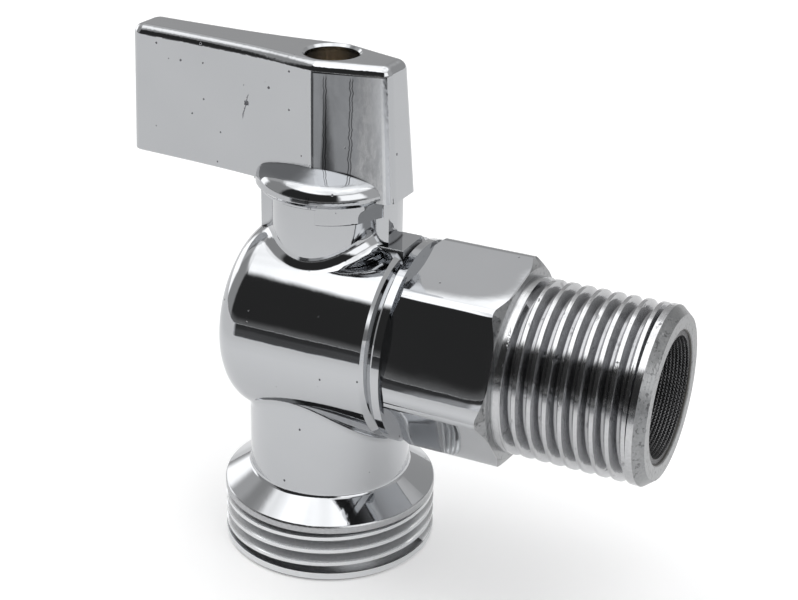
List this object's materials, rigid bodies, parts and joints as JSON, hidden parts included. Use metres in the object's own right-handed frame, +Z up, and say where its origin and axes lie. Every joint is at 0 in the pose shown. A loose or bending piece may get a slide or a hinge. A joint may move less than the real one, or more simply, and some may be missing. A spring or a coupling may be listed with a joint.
{
  "type": "angle stop valve",
  "caption": "Quarter-turn angle stop valve with a lever handle, a hexagon inlet end and a larger downward outlet thread.",
  "frame": {"origin": "centre of the outlet's bottom face, on the stem axis", "axes": "+Z up along the stem and outlet axis, +X out of the inlet, -Y toward the viewer's side of the picture"},
  "size_m": [0.0696, 0.0264, 0.0629],
  "materials": {
    "body_chrome": "polished chrome plate, threads bright as machined",
    "connector_chrome": "polished chrome plate, threads bright as machined",
    "handle_chrome": "polished chrome plate with small casting pits",
    "ball_chrome": "mirror polished",
    "seat_ptfe": "waxy white",
    "seal_fibre": "pressed fibre, matt",
    "stem_brass": "turned",
    "oring_rubber": "matt black",
    "screw_plated": "yellow plated, slightly dull",
    "washer_steel": "plain steel",
    "strainer_mesh": "fine woven wire",
    "strainer_rim": "pressed steel"
  },
  "bodies": {
    "housing": {"valve_body": "body_chrome", "end_connector": "connector_chrome", "connector_seal_ring": "seal_fibre", "inlet_seat_ring": "seat_ptfe", "rear_seat_ring": "seat_ptfe", "stem_thrust_washer": "seat_ptfe", "strainer_screen": "strainer_mesh", "strainer_ring": "strainer_rim"},
    "lever": {"handle": "handle_chrome", "handle_screw": "screw_plated", "handle_screw_washer": "washer_steel", "stem": "stem_brass", "stem_oring_lower": "oring_rubber", "stem_oring_upper": "oring_rubber"},
    "closing_ball": {"ball": "ball_chrome"}
  },
  "joints": [
    {"name": "handle_turn", "type": "hinge", "parent": "housing", "child": "lever", "pos_m": [0, 0, 0.0542], "axis": [0, 0, 1], "range_deg": [-90, 0]},
    {"name": "ball_turn", "type": "hinge", "parent": "housing", "child": "closing_ball", "pos_m": [0, 0, 0.0292], "axis": [0, 0, 1], "range_deg": [-90, 0]}
  ],
  "couplings": [
    {"joint": "ball_turn", "follows": "handle_turn", "ratio": 1}
  ]
}
